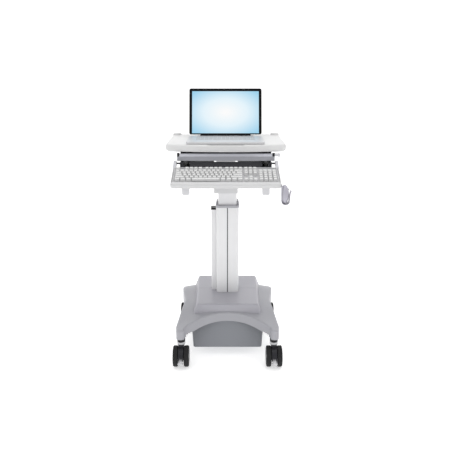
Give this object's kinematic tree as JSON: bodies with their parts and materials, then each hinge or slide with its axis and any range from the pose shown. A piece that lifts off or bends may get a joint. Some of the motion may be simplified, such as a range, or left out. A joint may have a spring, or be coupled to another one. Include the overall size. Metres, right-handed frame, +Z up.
{
  "type": "medication cart",
  "caption": "Mobile hospital cart: legged base on twin-wheel casters, telescopic column, work surface with slim drawer, sliding tilting keyboard tray, mouse holder and laptop.",
  "frame": {"origin": "on the floor under the middle of the whole cart at rest", "axes": "+Z up, -Y towards the user side with the keyboard tray, +X to the user's right"},
  "size_m": [0.553, 0.686, 1.2786],
  "materials": {
    "deck_grey": "satin moulded",
    "cover_grey": "satin moulded",
    "box_grey": "fine texture",
    "frame_steel": "powder coated",
    "zinc": "zinc plated",
    "battery": "semi gloss",
    "column_white": "satin powder coat",
    "riser_silver": "anodised",
    "strip_dark": "matt",
    "collar_grey": "satin",
    "black_plastic": "fine texture",
    "pad_plastic": "waxy",
    "chrome_rod": "ground",
    "bracket_grey": "satin",
    "black_steel": "satin powder coat",
    "surface_white": "thermoformed satin",
    "front_grey": "satin",
    "drawer_grey": "satin",
    "lock_metal": "satin",
    "arm_grey": "satin",
    "tray_white": "satin",
    "key_white": "fine texture",
    "case_white": "fine texture",
    "paddle_grey": "satin",
    "holder_grey": "satin",
    "mouse_white": "satin",
    "laptop_silver": "bead blasted",
    "laptop_key": "fine texture",
    "lid_black": "satin",
    "screen": "lit panel",
    "fork_silver": "satin",
    "tyre_black": "moulded",
    "hub_grey": "satin",
    "pedal_grey": "satin"
  },
  "bodies": {
    "base": {"base_cover": "deck_grey", "power_cover": "cover_grey", "base_frame": "frame_steel", "foot_bolts": "zinc", "battery_box": "box_grey", "battery_pack": "battery", "caster_stems": "zinc", "caster_rings": "black_plastic", "column_shell": "column_white", "slot_strip": "strip_dark", "column_collar": "collar_grey", "cable_duct": "column_white", "duct_cap": "black_plastic", "lift_cylinder": "black_steel"},
    "lift": {"riser": "riser_silver", "glide_pads": "pad_plastic", "lift_rod": "chrome_rod", "head_bracket": "bracket_grey", "head_chassis": "black_steel", "work_surface": "surface_white", "drawer_channels": "zinc", "tray_channels": "black_steel", "laptop_base": "laptop_silver", "laptop_keys": "laptop_key"},
    "drawer": {"drawer_box": "drawer_grey", "drawer_front": "front_grey", "front_end_caps": "black_plastic"},
    "lock": {"lock_knob": "lock_metal"},
    "carriage": {"tray_carriage": "black_steel", "tilt_rods": "black_steel"},
    "tray": {"tilt_arms": "arm_grey", "keyboard_tray": "tray_white", "keyboard_case": "case_white", "keycaps": "key_white", "mouse_holder": "holder_grey"},
    "space": {"space_bar": "key_white"},
    "paddle_l": {"paddle_left": "paddle_grey"},
    "paddle_r": {"paddle_right": "paddle_grey"},
    "mouse": {"mouse_body": "mouse_white", "mouse_buttons": "mouse_white"},
    "laptop_screen_lid": {"laptop_lid": "lid_black", "laptop_screen": "screen"},
    "swivel_fl": {"caster_fork_fl": "fork_silver"},
    "wheels_fl": {"caster_tyres_fl": "tyre_black", "caster_wheelset_fl": "hub_grey"},
    "pedal_fl": {"brake_pedal_fl": "pedal_grey"},
    "swivel_fr": {"caster_fork_fr": "fork_silver"},
    "wheels_fr": {"caster_tyres_fr": "tyre_black", "caster_wheelset_fr": "hub_grey"},
    "pedal_fr": {"brake_pedal_fr": "pedal_grey"},
    "swivel_rl": {"caster_fork_rl": "fork_silver"},
    "wheels_rl": {"caster_tyres_rl": "tyre_black", "caster_wheelset_rl": "hub_grey"},
    "swivel_rr": {"caster_fork_rr": "fork_silver"},
    "wheels_rr": {"caster_tyres_rr": "tyre_black", "caster_wheelset_rr": "hub_grey"}
  },
  "joints": [
    {"name": "lift_slide", "type": "slide", "parent": "base", "child": "lift", "axis": [0, 0, 1], "range_m": [-0.03, 0.3]},
    {"name": "drawer_slide", "type": "slide", "parent": "lift", "child": "drawer", "axis": [0, -1, 0], "range_m": [0, 0.22]},
    {"name": "lock_turn", "type": "hinge", "parent": "drawer", "child": "lock", "pos_m": [0.222, -0.094, 0.996], "axis": [1, 0, 0], "range_deg": [0, 90]},
    {"name": "tray_slide", "type": "slide", "parent": "lift", "child": "carriage", "axis": [0, 1, 0], "range_m": [0, 0.18]},
    {"name": "tray_tilt", "type": "hinge", "parent": "carriage", "child": "tray", "pos_m": [0, -0.107, 0.9585], "axis": [1, 0, 0], "range_deg": [0, 8]},
    {"name": "space_press", "type": "slide", "parent": "tray", "child": "space", "axis": [0, 0.2588, -0.9659], "range_m": [0, 0.003], "stiffness_N_per_m": 220, "springref_m": -0.002},
    {"name": "paddle_left_squeeze", "type": "hinge", "parent": "tray", "child": "paddle_l", "pos_m": [-0.171, -0.29946, 0.89244], "axis": [1, 0, 0], "range_deg": [0, 14], "stiffness_Nm_per_rad": 0.35, "springref_deg": -11.46},
    {"name": "paddle_right_squeeze", "type": "hinge", "parent": "tray", "child": "paddle_r", "pos_m": [0.171, -0.29946, 0.89244], "axis": [1, 0, 0], "range_deg": [0, 14], "stiffness_Nm_per_rad": 0.35, "springref_deg": -11.46},
    {"name": "mouse_lift", "type": "slide", "parent": "tray", "child": "mouse", "axis": [0, 0, 1], "range_m": [0, 0.075]},
    {"name": "lid_fold", "type": "hinge", "parent": "lift", "child": "laptop_screen_lid", "pos_m": [-0.002, 0.147, 1.05675], "axis": [1, 0, 0], "range_deg": [-15, 108]},
    {"name": "swivel_turn_fl", "type": "hinge", "parent": "base", "child": "swivel_fl", "pos_m": [-0.214, -0.203, 0.1], "axis": [0, 0, 1], "continuous": true},
    {"name": "wheel_roll_fl", "type": "hinge", "parent": "swivel_fl", "child": "wheels_fl", "pos_m": [-0.214, -0.228, 0.05], "axis": [1, 0, 0], "continuous": true},
    {"name": "pedal_press_fl", "type": "hinge", "parent": "swivel_fl", "child": "pedal_fl", "pos_m": [-0.214, -0.257, 0.05], "axis": [1, 0, 0], "range_deg": [0, 12]},
    {"name": "swivel_turn_fr", "type": "hinge", "parent": "base", "child": "swivel_fr", "pos_m": [0.23, -0.203, 0.1], "axis": [0, 0, 1], "continuous": true},
    {"name": "wheel_roll_fr", "type": "hinge", "parent": "swivel_fr", "child": "wheels_fr", "pos_m": [0.23, -0.228, 0.05], "axis": [1, 0, 0], "continuous": true},
    {"name": "pedal_press_fr", "type": "hinge", "parent": "swivel_fr", "child": "pedal_fr", "pos_m": [0.23, -0.257, 0.05], "axis": [1, 0, 0], "range_deg": [0, 12]},
    {"name": "swivel_turn_rl", "type": "hinge", "parent": "base", "child": "swivel_rl", "pos_m": [-0.214, 0.308, 0.1], "axis": [0, 0, 1], "continuous": true},
    {"name": "wheel_roll_rl", "type": "hinge", "parent": "swivel_rl", "child": "wheels_rl", "pos_m": [-0.214, 0.283, 0.05], "axis": [1, 0, 0], "continuous": true},
    {"name": "swivel_turn_rr", "type": "hinge", "parent": "base", "child": "swivel_rr", "pos_m": [0.23, 0.308, 0.1], "axis": [0, 0, 1], "continuous": true},
    {"name": "wheel_roll_rr", "type": "hinge", "parent": "swivel_rr", "child": "wheels_rr", "pos_m": [0.23, 0.283, 0.05], "axis": [1, 0, 0], "continuous": true}
  ]
}
